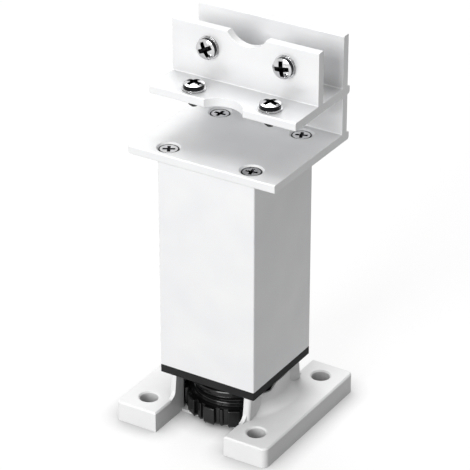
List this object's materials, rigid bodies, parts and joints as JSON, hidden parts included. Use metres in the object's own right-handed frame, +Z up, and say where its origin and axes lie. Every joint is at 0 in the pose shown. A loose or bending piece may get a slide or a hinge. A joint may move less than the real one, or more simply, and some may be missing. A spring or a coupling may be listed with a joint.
{
  "type": "decking pedestal",
  "caption": "Adjustable decking pedestal: square aluminium post on a coarse screw with a hand knob in a two-railed base, topped by a slotted joist channel.",
  "frame": {"origin": "middle of the base's underside, on the axis of the adjusting screw", "axes": "+Z up along the screw, +X along the joist channel, -Y towards the open shelf"},
  "size_m": [0.081, 0.08, 0.1847],
  "materials": {
    "white_plastic": "fine satin",
    "black_plastic": "satin",
    "anodised_aluminium": "satin anodised",
    "stainless_steel": "polished"
  },
  "bodies": {
    "base": {"base": "white_plastic"},
    "adjusting_screw": {"adjusting_screw": "black_plastic"},
    "post": {"end_plug": "black_plastic", "post_tube": "anodised_aluminium", "top_channel": "anodised_aluminium", "flange_screw_left": "stainless_steel", "flange_screw_right": "stainless_steel", "shelf_screw_left": "stainless_steel", "shelf_screw_right": "stainless_steel", "plate_screw_front_left": "stainless_steel", "plate_screw_front_right": "stainless_steel", "plate_screw_back_left": "stainless_steel", "plate_screw_back_right": "stainless_steel"}
  },
  "joints": [
    {"name": "knob_turn", "type": "hinge", "parent": "base", "child": "adjusting_screw", "pos_m": [0, 0, 0], "axis": [0, 0, -1], "range_deg": [0, 3600]},
    {"name": "post_lift", "type": "slide", "parent": "base", "child": "post", "axis": [0, 0, 1], "range_m": [0, 0.04]}
  ],
  "couplings": [
    {"joint": "post_lift", "follows": "knob_turn", "m_per_rad": 0.00063662}
  ]
}
